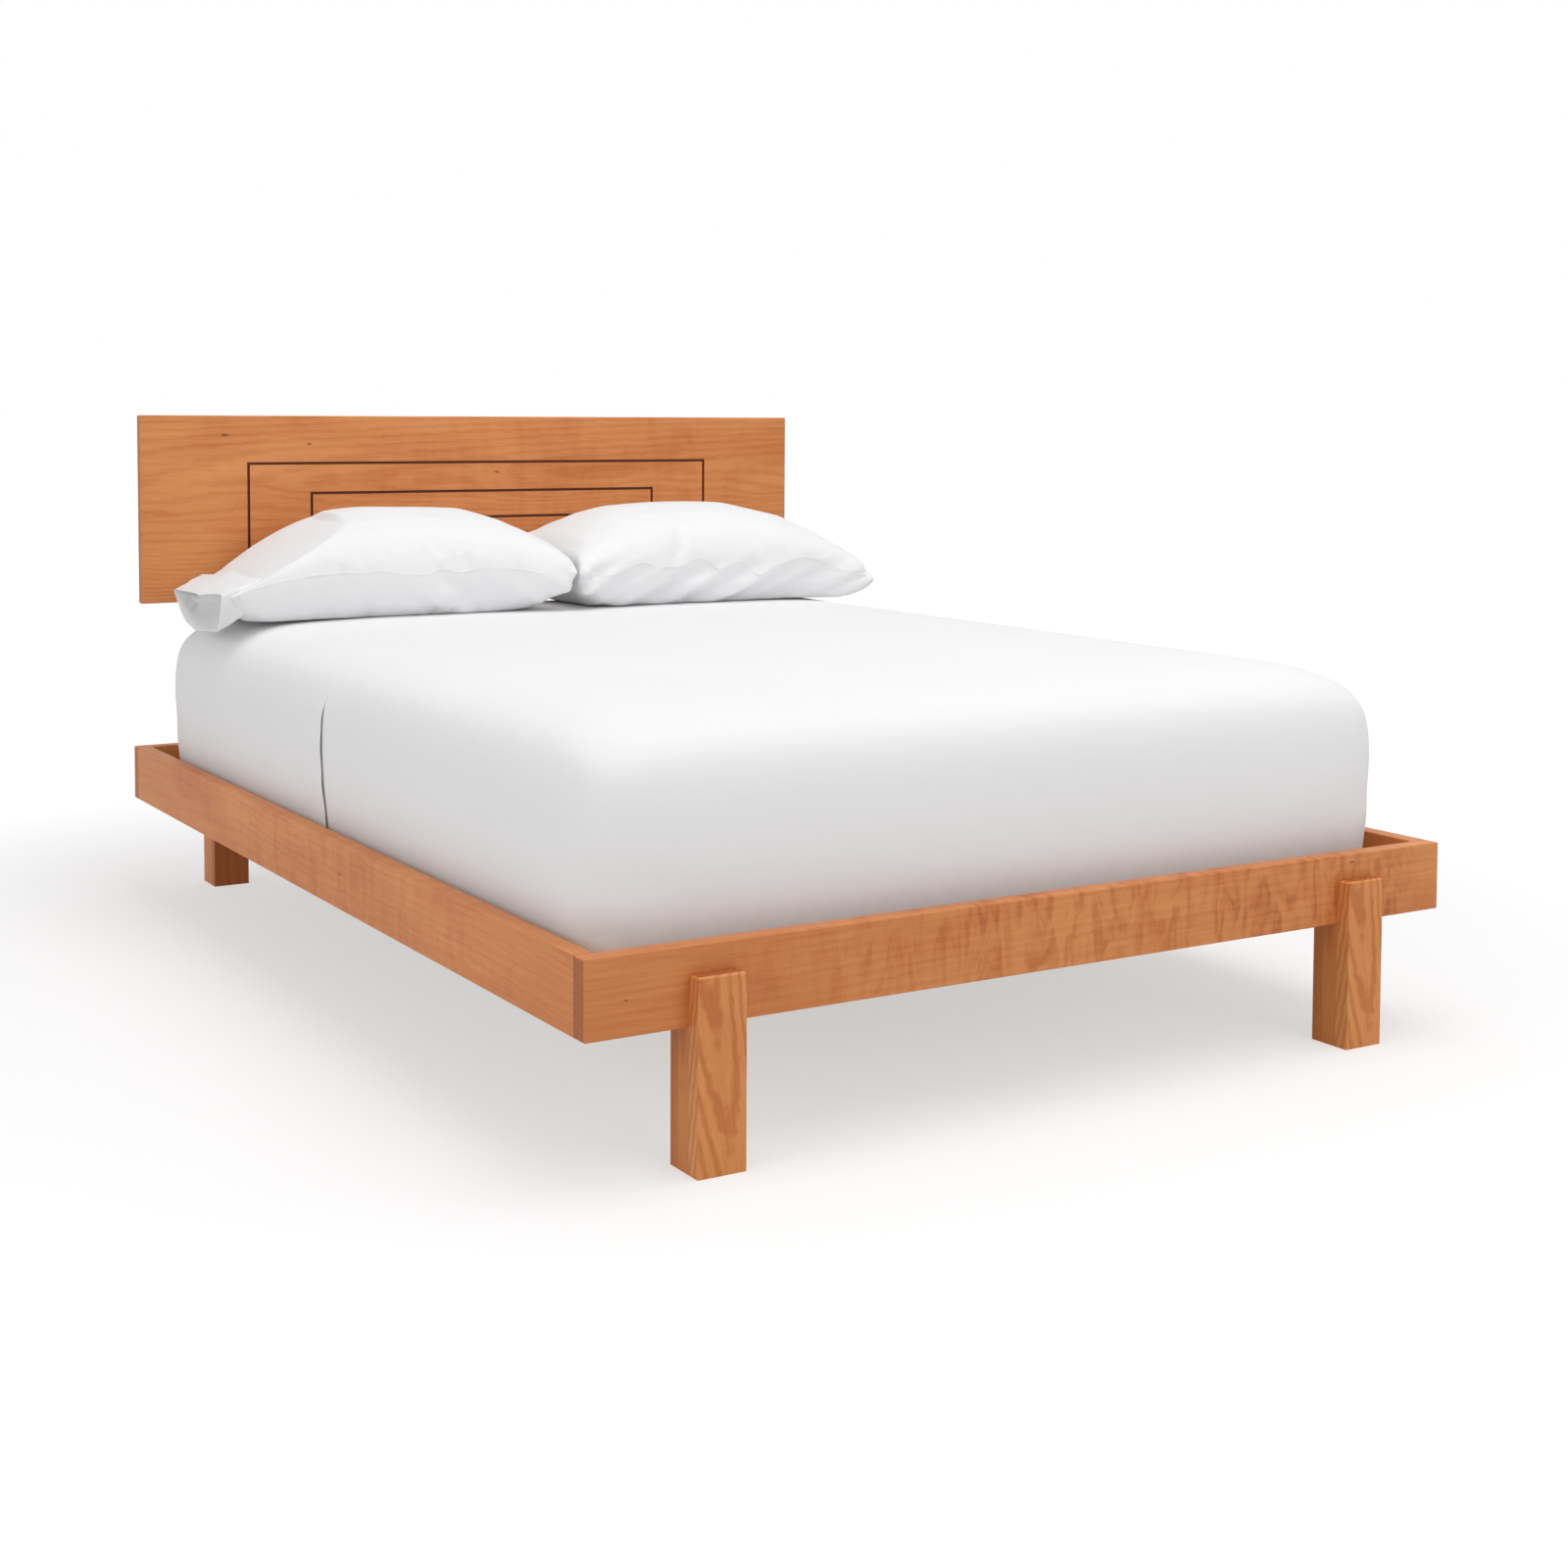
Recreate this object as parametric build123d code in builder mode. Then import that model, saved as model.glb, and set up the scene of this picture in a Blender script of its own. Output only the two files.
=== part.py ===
# Platform bed in solid cherry: four rails that lap at the corners, forked legs that grip
# the foot rail and the head rail, a headboard panel hung on two posts, a slatted deck on
# cleats and a centre beam, and the bedding that lies on it.
# Frame: origin on the floor at the centre of the footprint, +X to the right seen from the
# foot of the bed, +Y towards the head, +Z up. Millimetres.
from build123d import *
from math import cos, radians, sin
import os

os.makedirs("parts", exist_ok=True)

# Driving dimensions: the rails
frame_width = 1607
frame_length = 2158
rail_thickness = 30
rail_height = 112
rail_underside = 203
arris = 1.5

# Driving dimensions: the legs, each of three boards glued face to face
leg_width = 76
leg_inset = 158
leg_outer_thickness = 25
leg_inner_thickness = 21
leg_fork_rise = 73
leg_top_bevel = 3

# Driving dimensions: the headboard
headboard_height = 400
headboard_thickness = 20
headboard_underside = 627
headboard_bevel = 2
groove_width = 6
groove_depth = 5
outer_groove_margin = 235.5
outer_groove_top_margin = 104
inner_groove_margin = 378
inner_groove_top_margin = 170
post_top_below_headboard_top = 38

# Driving dimensions: the deck
slat_thickness = 19
slat_width = 89
slat_count = 13
slat_edge_radius = 4
deck_below_rail_top = 33
slat_end_gap = 3
deck_end_margin = 32
cleat_width = 25
cleat_height = 38
beam_width = 38
centre_leg_top = 44
centre_leg_bottom = 36
foot_adjustment = 12
foot_gap = 25

# Driving dimensions: the bedding
mattress_side_gap = 11.5
mattress_foot_gap = 28
mattress_head_gap = 3
mattress_thickness = 332
mattress_corner_radius = 100
sheet_thickness = 1.2
soft_gap = 0.3
pillow_depth = 470
pillow_height = 206
pillow_seam_rise = 81
pillow_pair_gap = 10
pillow_edge_margin = 13
pillow_head_gap = 12
pillow_shift = -8
case_overhang = 40
case_wall = 3

# Driving dimensions: the hardware
leg_bolt_radius = 4
leg_bolt_grip = 16
corner_bolt_radius = 3
corner_bolt_grip = 20
bolt_clearance = 0.3
thread_clearance = 0.1
bolt_head_height = 4
bracket_arm = 50
bracket_height = 44
bracket_thickness = 3
hanger_thickness = 2.5
hanger_flange = 24
hanger_depth = 34
headboard_screw_radius = 2.5
headboard_screw_grip = 12

# Levels and faces that the pieces share
rail_top = rail_underside + rail_height
deck_top = rail_top - deck_below_rail_top
slat_underside = deck_top - slat_thickness
half_width = frame_width / 2
half_length = frame_length / 2
inner_half_width = half_width - rail_thickness
inner_half_length = half_length - rail_thickness
leg_x = half_width - leg_inset - leg_width / 2
leg_fork_top = rail_underside + leg_fork_rise
post_front = inner_half_length - leg_inner_thickness
headboard_front = post_front - headboard_thickness
headboard_top = headboard_underside + headboard_height
headboard_middle = headboard_underside + headboard_height / 2
post_top = headboard_top - post_top_below_headboard_top
beam_height = slat_underside - rail_underside
centre_leg_y = inner_half_length / 3
leg_bolt_levels = (rail_underside + 22, rail_underside + 53)
post_screw_levels = (headboard_underside + 70, post_top - 50)
bracket_underside = slat_underside - bracket_height - 6
bracket_bolt_step = 0.6 * bracket_arm
corners = ((-1, -1), (1, -1), (-1, 1), (1, 1))


def save(piece, label):
    """Name a finished piece and write its STEP file."""
    piece.part.label = label
    export_step(piece.part, f"parts/{label}.step")


def end_rail_bolt_plane(side, end):
    """Seat of the bracket bolt that goes into the foot rail or the head rail."""
    x = side * (inner_half_width - bracket_bolt_step)
    y = end * (inner_half_length - bracket_thickness)
    return Plane((x, y, bracket_underside + bracket_height / 2), z_dir=(0, -end, 0))


def side_rail_bolt_plane(side, end):
    """Seat of the bracket bolt that goes into the side rail."""
    x = side * (inner_half_width - bracket_thickness)
    y = end * (inner_half_length - bracket_bolt_step)
    return Plane((x, y, bracket_underside + bracket_height / 2), z_dir=(-side, 0, 0))


def leg_bolt_planes(side, end):
    """Seats of the two bolts that run through one leg, on the face of its inner board."""
    seat_y = end * post_front
    return [Plane((side * leg_x, seat_y, level), z_dir=(0, -end, 0)) for level in leg_bolt_levels]


def post_screw_planes(side):
    """Seats of the screws that go through a post from behind into the headboard."""
    seats = []
    for step in (-22, 22):
        for level in post_screw_levels:
            seats.append(Plane((side * leg_x + step, inner_half_length, level), z_dir=(0, 1, 0)))
    return seats


def slat_centre(index):
    """Place along the bed of one slat, the slats spread evenly between the end margins."""
    first = -inner_half_length + deck_end_margin + slat_width / 2
    pitch = -2 * first / (slat_count - 1)
    return first + index * pitch


cleat_half_length = inner_half_length - bracket_arm - 8


def drill(planes, radius, depth):
    """Cut round holes into the piece being built, from each plane downwards."""
    with Locations(*planes):
        Cylinder(radius, depth, align=(Align.CENTER, Align.CENTER, Align.MAX), mode=Mode.SUBTRACT)


def moved_planes(planes, distance):
    """The same planes, each moved along its own normal."""
    return [plane.offset(distance) for plane in planes]


# Radii of the holes that the hardware needs, loose where it passes and close where it bites
leg_bolt_hole = leg_bolt_radius + bolt_clearance
leg_bolt_bite = leg_bolt_radius + thread_clearance
corner_bolt_hole = corner_bolt_radius + bolt_clearance
corner_bolt_bite = corner_bolt_radius + thread_clearance
headboard_screw_hole = headboard_screw_radius + bolt_clearance
headboard_screw_bite = headboard_screw_radius + thread_clearance
blind_spare = 2


# Foot rail and head rail: they lap over the ends of the side rails
def end_rail(end, label):
    """One end rail, drilled for its leg bolts and bracket bolts."""
    middle_y = end * (half_length - rail_thickness / 2)
    with BuildPart() as rail:
        with BuildSketch(Plane.XY.offset(rail_underside)):
            with Locations((0, middle_y)):
                Rectangle(frame_width, rail_thickness)
        extrude(amount=rail_height)
        chamfer(rail.edges(), arris)
        for side in (-1, 1):
            inner_face = moved_planes(leg_bolt_planes(side, end), -leg_inner_thickness)
            drill(inner_face, leg_bolt_hole, rail_thickness)
            bracket_face = end_rail_bolt_plane(side, end).offset(-bracket_thickness)
            drill([bracket_face], corner_bolt_bite, corner_bolt_grip + blind_spare)
    save(rail, label)


end_rail(-1, "foot_rail")
end_rail(1, "head_rail")


# Side rails: between the end rails, held to them by the corner brackets
def side_rail(side, label):
    """One side rail."""
    middle_x = side * (half_width - rail_thickness / 2)
    with BuildPart() as rail:
        with BuildSketch(Plane.XY.offset(rail_underside)):
            with Locations((middle_x, 0)):
                Rectangle(rail_thickness, 2 * inner_half_length)
        extrude(amount=rail_height)
        chamfer(rail.edges().filter_by(Axis.Y), arris)
        for end in (-1, 1):
            bracket_face = side_rail_bolt_plane(side, end).offset(-bracket_thickness)
            drill([bracket_face], corner_bolt_bite, corner_bolt_grip + blind_spare)
    save(rail, label)


side_rail(-1, "side_rail_left")
side_rail(1, "side_rail_right")


# Legs: the outer board stands proud of the rail, the middle board stops under it,
# and the inner board rises behind it, at the head as the headboard's post
def leg_board(side, end, near_face, thickness, top):
    """A plain upright leg board between two faces across the bed's length."""
    middle_y = end * (near_face + thickness / 2)
    with BuildSketch(Plane.XY) as outline:
        with Locations((side * leg_x, middle_y)):
            Rectangle(leg_width, thickness)
    extrude(outline.sketch, amount=top)


def leg(side, end, prefix):
    """The three boards of one leg."""
    seats = leg_bolt_planes(side, end)
    with BuildPart() as outer:
        leg_board(side, end, half_length, leg_outer_thickness, leg_fork_top)
        chamfer(outer.faces().sort_by(Axis.Z)[-1].edges(), leg_top_bevel)
        inset = leg_inner_thickness + rail_thickness
        drill(moved_planes(seats, -inset), leg_bolt_bite, leg_bolt_grip + blind_spare)
    save(outer, f"{prefix}_outer_board")

    with BuildPart() as core:
        leg_board(side, end, inner_half_length, rail_thickness, rail_underside)
    save(core, f"{prefix}_core_board")

    with BuildPart() as inner:
        top = leg_fork_top if end < 0 else post_top
        leg_board(side, end, post_front, leg_inner_thickness, top)
        chamfer(inner.faces().sort_by(Axis.Z)[-1].edges(), leg_top_bevel)
        drill(seats, leg_bolt_hole, leg_inner_thickness)
        if end > 0:
            drill(post_screw_planes(side), headboard_screw_hole, leg_inner_thickness)
    save(inner, f"{prefix}_inner_board" if end < 0 else f"{prefix}_post")


leg(-1, -1, "leg_foot_left")
leg(1, -1, "leg_foot_right")
leg(-1, 1, "leg_head_left")
leg(1, 1, "leg_head_right")


# Headboard: one panel with two rectangles, one inside the other, grooved into its face
def groove(margin, top_margin):
    """Cut one rectangular groove into the face of the panel being built."""
    width = frame_width - 2 * margin
    height = headboard_height - 2 * top_margin
    face = Plane((0, headboard_front, headboard_middle), x_dir=(1, 0, 0), z_dir=(0, -1, 0))
    with BuildSketch(face) as outline:
        Rectangle(width + groove_width, height + groove_width)
        Rectangle(width - groove_width, height - groove_width, mode=Mode.SUBTRACT)
    extrude(outline.sketch, amount=-groove_depth, mode=Mode.SUBTRACT)


with BuildPart() as headboard:
    with BuildSketch(Plane.XY.offset(headboard_underside)):
        with Locations((0, headboard_front + headboard_thickness / 2)):
            Rectangle(frame_width, headboard_thickness)
    extrude(amount=headboard_height)
    chamfer(headboard.edges(), headboard_bevel)
    groove(outer_groove_margin, outer_groove_top_margin)
    groove(inner_groove_margin, inner_groove_top_margin)
    for side in (-1, 1):
        back = moved_planes(post_screw_planes(side), -leg_inner_thickness)
        drill(back, headboard_screw_bite, headboard_screw_grip + blind_spare)
save(headboard, "headboard_panel")


# Cleats along the side rails, which carry the ends of the slats
def cleat(side, label):
    """One cleat, eased along its lower inner edge."""
    middle_x = side * (inner_half_width - cleat_width / 2)
    with BuildPart() as strip:
        with BuildSketch(Plane.XY.offset(slat_underside - cleat_height)):
            with Locations((middle_x, 0)):
                Rectangle(cleat_width, 2 * cleat_half_length)
        extrude(amount=cleat_height)
        low_edges = strip.edges().filter_by(Axis.Y).group_by(Axis.Z)[0]
        chamfer(low_edges.sort_by(Axis.X)[0 if side > 0 else -1], 4)
    save(strip, label)


cleat(-1, "slat_cleat_left")
cleat(1, "slat_cleat_right")

# Centre beam from rail to rail, level with the cleats
hanger_bolt_radius = 4
hanger_bolt_reach = 32
with BuildPart() as beam:
    with BuildSketch(Plane.XY.offset(rail_underside + hanger_thickness)):
        Rectangle(beam_width, 2 * inner_half_length)
    extrude(amount=beam_height - hanger_thickness)
    chamfer(beam.edges().filter_by(Axis.Y), arris)
    for end in (-1, 1):
        underside = Plane((0, end * centre_leg_y, rail_underside + hanger_thickness), z_dir=(0, 0, -1))
        drill([underside], hanger_bolt_radius + thread_clearance, hanger_bolt_reach + blind_spare)
save(beam, "centre_beam")


# Steel hangers: a bent strap round the beam's end with two flanges screwed to the rail
def beam_hanger(end, label):
    """One hanger: a folded channel under the beam and flanges against the rail."""
    inner = beam_width / 2
    outer = inner + hanger_thickness
    top = slat_underside - 6
    face = Plane((0, end * inner_half_length, 0), x_dir=(1, 0, 0), z_dir=(0, -end, 0))
    sign = -1 if face.y_dir.Z < 0 else 1
    with BuildPart() as hanger:
        with BuildSketch(face):
            with BuildLine():
                Polyline(
                    (-outer, sign * top),
                    (-outer, sign * rail_underside),
                    (outer, sign * rail_underside),
                    (outer, sign * top),
                    (inner, sign * top),
                    (inner, sign * (rail_underside + hanger_thickness)),
                    (-inner, sign * (rail_underside + hanger_thickness)),
                    (-inner, sign * top),
                    close=True,
                )
            make_face()
        extrude(amount=hanger_depth)
        with BuildSketch(face):
            middle = sign * (rail_underside + top) / 2
            for side in (-1, 1):
                with Locations((side * (outer + hanger_flange / 2), middle)):
                    Rectangle(hanger_flange, top - rail_underside)
        extrude(amount=hanger_thickness)
    save(hanger, label)


beam_hanger(-1, "beam_hanger_foot")
beam_hanger(1, "beam_hanger_head")

# Centre legs: square, tapered, screwed to the beam and standing on adjustable feet
stem_radius = 4
stem_reach = 22


def centre_leg(end, label):
    """One tapered centre leg with its two bores."""
    y = end * centre_leg_y
    top = rail_underside + hanger_thickness
    with BuildPart() as post:
        with BuildSketch(Plane((0, y, foot_gap))):
            Rectangle(centre_leg_bottom, centre_leg_bottom)
        with BuildSketch(Plane((0, y, top))):
            Rectangle(centre_leg_top, centre_leg_top)
        loft()
        chamfer(post.edges().group_by(Axis.Z)[0], arris)
        drill([Plane((0, y, top))], hanger_bolt_radius + thread_clearance, hanger_bolt_reach + blind_spare)
        underside = Plane((0, y, foot_gap), z_dir=(0, 0, -1))
        drill([underside], stem_radius + bolt_clearance, stem_reach + foot_adjustment + blind_spare)
    save(post, label)


centre_leg(-1, "centre_leg_foot_end")
centre_leg(1, "centre_leg_head_end")


def levelling_foot(end, label):
    """One screw foot: a round pad, a hexagon for the spanner and a stem."""
    y = end * centre_leg_y
    pad_radius = 17
    pad_height = 7
    hexagon_height = 4
    with BuildPart() as foot:
        with BuildSketch(Plane((0, y, 0))):
            Circle(pad_radius)
        extrude(amount=pad_height)
        chamfer(foot.edges().filter_by(GeomType.CIRCLE).sort_by(Axis.Z)[-1], 2)
        with BuildSketch(Plane((0, y, pad_height))):
            RegularPolygon(7.5, 6)
        extrude(amount=hexagon_height)
        with BuildSketch(Plane((0, y, pad_height + hexagon_height))):
            Circle(stem_radius)
        extrude(amount=foot_gap - pad_height - hexagon_height + stem_reach)
    save(foot, label)


levelling_foot(-1, "levelling_foot_foot_end")
levelling_foot(1, "levelling_foot_head_end")

with BuildPart() as hanger_bolts:
    for end in (-1, 1):
        middle = rail_underside + hanger_thickness
        with BuildSketch(Plane((0, end * centre_leg_y, middle - hanger_bolt_reach))):
            Circle(hanger_bolt_radius)
        extrude(amount=2 * hanger_bolt_reach)
save(hanger_bolts, "centre_leg_bolts")


# Slats, eased along their long edges
def slat(index):
    """One slat of the deck."""
    with BuildPart() as board:
        with BuildSketch(Plane((0, slat_centre(index), slat_underside))):
            Rectangle(2 * (inner_half_width - slat_end_gap), slat_width)
        extrude(amount=slat_thickness)
        fillet(board.edges().filter_by(Axis.X), slat_edge_radius)
    save(board, f"slat_{index + 1:02d}")


for number in range(slat_count):
    slat(number)


# Corner brackets: steel angles behind the lapped corners
def corner_bracket(side, end, label):
    """One angle bracket with a bolt hole in each arm."""
    arm_x = side * inner_half_width
    arm_y = end * inner_half_length
    with BuildPart() as bracket:
        with BuildSketch(Plane.XY.offset(bracket_underside)):
            with BuildLine():
                Polyline(
                    (arm_x, arm_y),
                    (arm_x - side * bracket_arm, arm_y),
                    (arm_x - side * bracket_arm, arm_y - end * bracket_thickness),
                    (arm_x - side * bracket_thickness, arm_y - end * bracket_thickness),
                    (arm_x - side * bracket_thickness, arm_y - end * bracket_arm),
                    (arm_x, arm_y - end * bracket_arm),
                    close=True,
                )
            make_face()
        extrude(amount=bracket_height)
        seats = [end_rail_bolt_plane(side, end), side_rail_bolt_plane(side, end)]
        drill(seats, corner_bolt_hole, bracket_thickness)
    save(bracket, label)


for side, end in corners:
    corner_bracket(side, end, f"corner_bracket_{'foot' if end < 0 else 'head'}_{'left' if side < 0 else 'right'}")


# Fasteners: each kind is one group of separate solids
def fasteners(label, seats, head, radius, length):
    """Bolts or screws, each with its head on its seat."""
    with BuildPart() as group:
        with Locations(*seats):
            add(head)
            Cylinder(radius, length, align=(Align.CENTER, Align.CENTER, Align.MAX))
    save(group, label)


def hexagon_head(radius):
    """A bolt's hexagon head."""
    with BuildPart() as head:
        with BuildSketch() as outline:
            RegularPolygon(1.9 * radius, 6)
        extrude(outline.sketch, amount=bolt_head_height)
    return head.part


leg_seats = [plane for side, end in corners for plane in leg_bolt_planes(side, end)]
leg_bolt_length = leg_inner_thickness + rail_thickness + leg_bolt_grip
fasteners("leg_bolts", leg_seats, hexagon_head(leg_bolt_radius), leg_bolt_radius, leg_bolt_length)

bracket_seats = [end_rail_bolt_plane(side, end) for side, end in corners]
bracket_seats += [side_rail_bolt_plane(side, end) for side, end in corners]
bracket_bolt_length = bracket_thickness + corner_bolt_grip
fasteners(
    "corner_bolts", bracket_seats, hexagon_head(corner_bolt_radius), corner_bolt_radius, bracket_bolt_length
)

with BuildPart() as pan_head:
    Cylinder(1.9 * headboard_screw_radius, 3, align=(Align.CENTER, Align.CENTER, Align.MIN))
post_seats = post_screw_planes(-1) + post_screw_planes(1)
screw_length = leg_inner_thickness + headboard_screw_grip
fasteners("headboard_screws", post_seats, pan_head.part, headboard_screw_radius, screw_length)


# Soft pieces are bounded by flat facets between rings of points
def facets(low, high, flat):
    """The facets between two rings: flat quadrilaterals, or else pairs of triangles."""
    made = []
    for index, point in enumerate(low):
        after = (index + 1) % len(low)
        corners_round = [point, low[after], high[after], high[index]]
        if flat:
            made.append(Face(Wire.make_polygon(corners_round)))
        else:
            made.append(Face(Wire.make_polygon(corners_round[:3])))
            made.append(Face(Wire.make_polygon([point, high[after], high[index]])))
    return made


def walls(rings, flat=True):
    """The facets between each ring and the next."""
    return [face for low, high in zip(rings, rings[1:]) for face in facets(low, high, flat)]


def cap(ring):
    """The flat lid over one ring."""
    return Face(Wire.make_polygon(ring))


def closed_solid(faces):
    """The solid inside a closed set of facets."""
    return Solid(Shell(faces))


# Mattress: a soft block with bulged sides, rounded corners and a crowned top.
# Below its widest level the outline draws in a little. Above it the section is a quarter
# of a superellipse, from the upright side over a soft shoulder to the flat crown.
mattress_width = 2 * (inner_half_width - mattress_side_gap)
mattress_foot = -inner_half_length + mattress_foot_gap
mattress_head = headboard_front - mattress_head_gap
mattress_length = mattress_head - mattress_foot
mattress_y = (mattress_head + mattress_foot) / 2
mattress_top = deck_top + mattress_thickness
mattress_widest = mattress_thickness / 2
underside_inset = 18
belly_share = 0.4
belly_inset = 5
mattress_corner_steps = 6
crown_inset = 300
shoulder_power = 0.5
shoulder_turns = (10, 20, 30, 40, 50, 60, 71, 90)


def low_inset(share):
    """How far the side draws in at a share of the height from the deck to the widest level."""
    if share < belly_share:
        return underside_inset + (belly_inset - underside_inset) * share / belly_share
    return belly_inset * (1 - share) / (1 - belly_share)


def mattress_ring(height, inset, grow):
    """Points round the mattress at one height, grown by a gap."""
    across = mattress_width / 2 - inset + grow
    along = mattress_length / 2 - inset + grow
    radius = mattress_corner_radius + 0.35 * inset
    points = []
    for quarter, (sx, sy) in enumerate(((1, 1), (-1, 1), (-1, -1), (1, -1))):
        for step in range(mattress_corner_steps + 1):
            turn = radians(90 * (quarter + step / mattress_corner_steps))
            x = sx * (across - radius) + radius * cos(turn)
            y = sy * (along - radius) + radius * sin(turn)
            points.append((x, mattress_y + y, height))
    return points


def mattress_rings(grow, lowest):
    """The mattress's rings from a lowest height over the deck to the crown."""
    rings = []
    for rise in (lowest, belly_share * mattress_widest, mattress_widest):
        inset = low_inset(rise / mattress_widest)
        rings.append(mattress_ring(deck_top + rise, inset, grow))
    for turn in shoulder_turns:
        inset = crown_inset * (1 - max(cos(radians(turn)), 0) ** shoulder_power)
        rise = (mattress_thickness - mattress_widest + grow) * sin(radians(turn)) ** shoulder_power
        rings.append(mattress_ring(deck_top + mattress_widest + rise, inset, grow))
    return rings


with BuildPart() as mattress:
    rings = mattress_rings(0, 0)
    add(closed_solid(walls(rings) + [cap(rings[0]), cap(rings[-1])]))
save(mattress, "mattress")

# Fitted sheet: a thin skin over the mattress's top and sides, open underneath
sheet_hem_rise = 9
with BuildPart() as fitted_sheet:
    under_sheet = mattress_rings(soft_gap, sheet_hem_rise)
    over_sheet = mattress_rings(soft_gap + sheet_thickness, sheet_hem_rise)
    hem = facets(under_sheet[0], over_sheet[0], True)
    crown = [cap(under_sheet[-1]), cap(over_sheet[-1])]
    add(closed_solid(walls(under_sheet) + walls(over_sheet) + hem + crown))
save(fitted_sheet, "fitted_sheet")

# Pillows: a crown over a seam, with sides drawn in between the four corners. The end
# towards the bed's side slopes and droops. Each level is its rise above the underside, the
# inset of its outline, the inset of its sloping end, the bow of its sides, outward or,
# where negative, inward, and the size of its corners.
pillow_levels = (
    (0, 116, 116, 14, 40),
    (14, 62, 62, 8, 36),
    (42, 18, 18, -8, 20),
    (pillow_seam_rise, 0, 0, -18, 6),
    (112, 12, 16, -12, 14),
    (146, 44, 58, 0, 30),
    (170, 80, 104, 8, 34),
    (190, 122, 170, 10, 30),
    (pillow_height, 190, 290, 6, 10),
)
pillow_droops = {-1: (14, 46), 1: (44, 56)}
pillow_droop_start = 120
pillow_side_steps = 7
pillow_length = (mattress_width - pillow_pair_gap) / 2 - pillow_edge_margin
pillow_underside = mattress_top + 2 * soft_gap + sheet_thickness
pillow_y = mattress_head - pillow_head_gap - pillow_depth / 2


def pillow_centre(side):
    """Place across the bed of one pillow's middle."""
    return side * (pillow_pair_gap + pillow_length) / 2 + pillow_shift


def pillow_side(half_run, corner, bow):
    """Steps along one side between its clipped corners, with how far each bows out."""
    steps = []
    for index in range(pillow_side_steps):
        share = 2 * index / (pillow_side_steps - 1) - 1
        steps.append((share * (half_run - corner), bow * (1 - share**2)))
    return steps


def pillow_droop(side, x, y, rise):
    """How far a point of the pillow hangs down near the bed's side."""
    near, far = pillow_droops[side]
    outward = (side * (x - pillow_centre(side)) - pillow_droop_start) / (pillow_length / 2 - pillow_droop_start)
    share = min(max(outward, 0), 1)
    ease = share**2 * (3 - 2 * share)
    depth = min(max((y - pillow_y) / pillow_depth + 0.5, 0), 1)
    return (near + (far - near) * depth) * ease * sin(radians(180 * rise / pillow_height))


def pillow_ring(side, level, grow):
    """Points round one level of a pillow, grown by a gap."""
    rise, inset, end_inset, bow, corner = level
    inner = pillow_length / 2 - inset + grow
    outer = pillow_length / 2 - end_inset + grow
    across = (inner + outer) / 2
    along = pillow_depth / 2 - inset + grow
    shift = side * (outer - inner) / 2
    long_side = pillow_side(across, corner, bow)
    short_side = pillow_side(along, corner, bow)
    outline = [(across + out, run) for run, out in short_side]
    outline += [(-run, along + out) for run, out in long_side]
    outline += [(-across - out, -run) for run, out in short_side]
    outline += [(run, -along - out) for run, out in long_side]
    height = rise + {0: -grow, pillow_height: grow}.get(rise, 0)
    points = []
    for x, y in outline:
        place_x = pillow_centre(side) + shift + x
        place_y = pillow_y + y
        drop = pillow_droop(side, place_x, place_y, rise)
        points.append((place_x, place_y, pillow_underside + height - drop))
    return points


def pillow_solid(side, grow):
    """One whole pillow, grown by a gap."""
    rings = [pillow_ring(side, level, grow) for level in pillow_levels]
    return closed_solid(walls(rings, False) + [cap(rings[0]), cap(rings[-1])])


for side, name in ((-1, "pillow_left"), (1, "pillow_right")):
    with BuildPart() as pillow:
        add(pillow_solid(side, 0))
    save(pillow, name)

# Open end of the left pillowcase: a thin sleeve that droops past the mattress's edge.
# Each section is its corners seen from the side, from the near top one round underneath.
case_root_x = pillow_centre(-1) - pillow_length / 2 + 40
case_mouth_x = pillow_centre(-1) - pillow_length / 2 - case_overhang
case_root = ((-205, 80), (-180, 36), (185, 36), (208, 62))
case_mouth = ((-218, 66), (-178, -12), (70, -12), (226, 38))


def case_section(corners_seen, x, shrink):
    """One section of the sleeve, shrunk by a wall."""
    seen = Plane((x, pillow_y, pillow_underside), x_dir=(0, 1, 0), z_dir=(1, 0, 0))
    with BuildSketch(seen) as outline:
        with BuildLine():
            Polyline(*corners_seen, close=True)
        make_face()
        if shrink:
            offset(amount=-shrink, kind=Kind.INTERSECTION, mode=Mode.REPLACE)
    return outline.sketch


def case_sleeve(shrink):
    """The sleeve from its root on the pillow to its mouth, shrunk by a wall."""
    root = case_section(case_root, case_root_x, shrink)
    mouth = case_section(case_mouth, case_mouth_x, shrink)
    loft([root, mouth], ruled=True)


with BuildPart() as case_room:
    case_sleeve(case_wall)
with BuildPart() as case_end:
    case_sleeve(0)
    add(case_room.part, mode=Mode.SUBTRACT)
    add(pillow_solid(-1, soft_gap), mode=Mode.SUBTRACT)
save(case_end, "pillowcase_left_end")
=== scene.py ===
# %% [markdown]
# # A cherry platform bed
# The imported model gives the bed's frame and every size. This script keeps the wooden and
# metal pieces as they are and gives them their finish. The mattress, the sheet and the
# pillows are soft, so new pieces take the place of their plain solids.

from math import atan2, cos, exp, pi, radians, sin

import bmesh
import bpy
from mathutils import Matrix, Vector, noise
from mathutils.bvhtree import BVHTree


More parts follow.
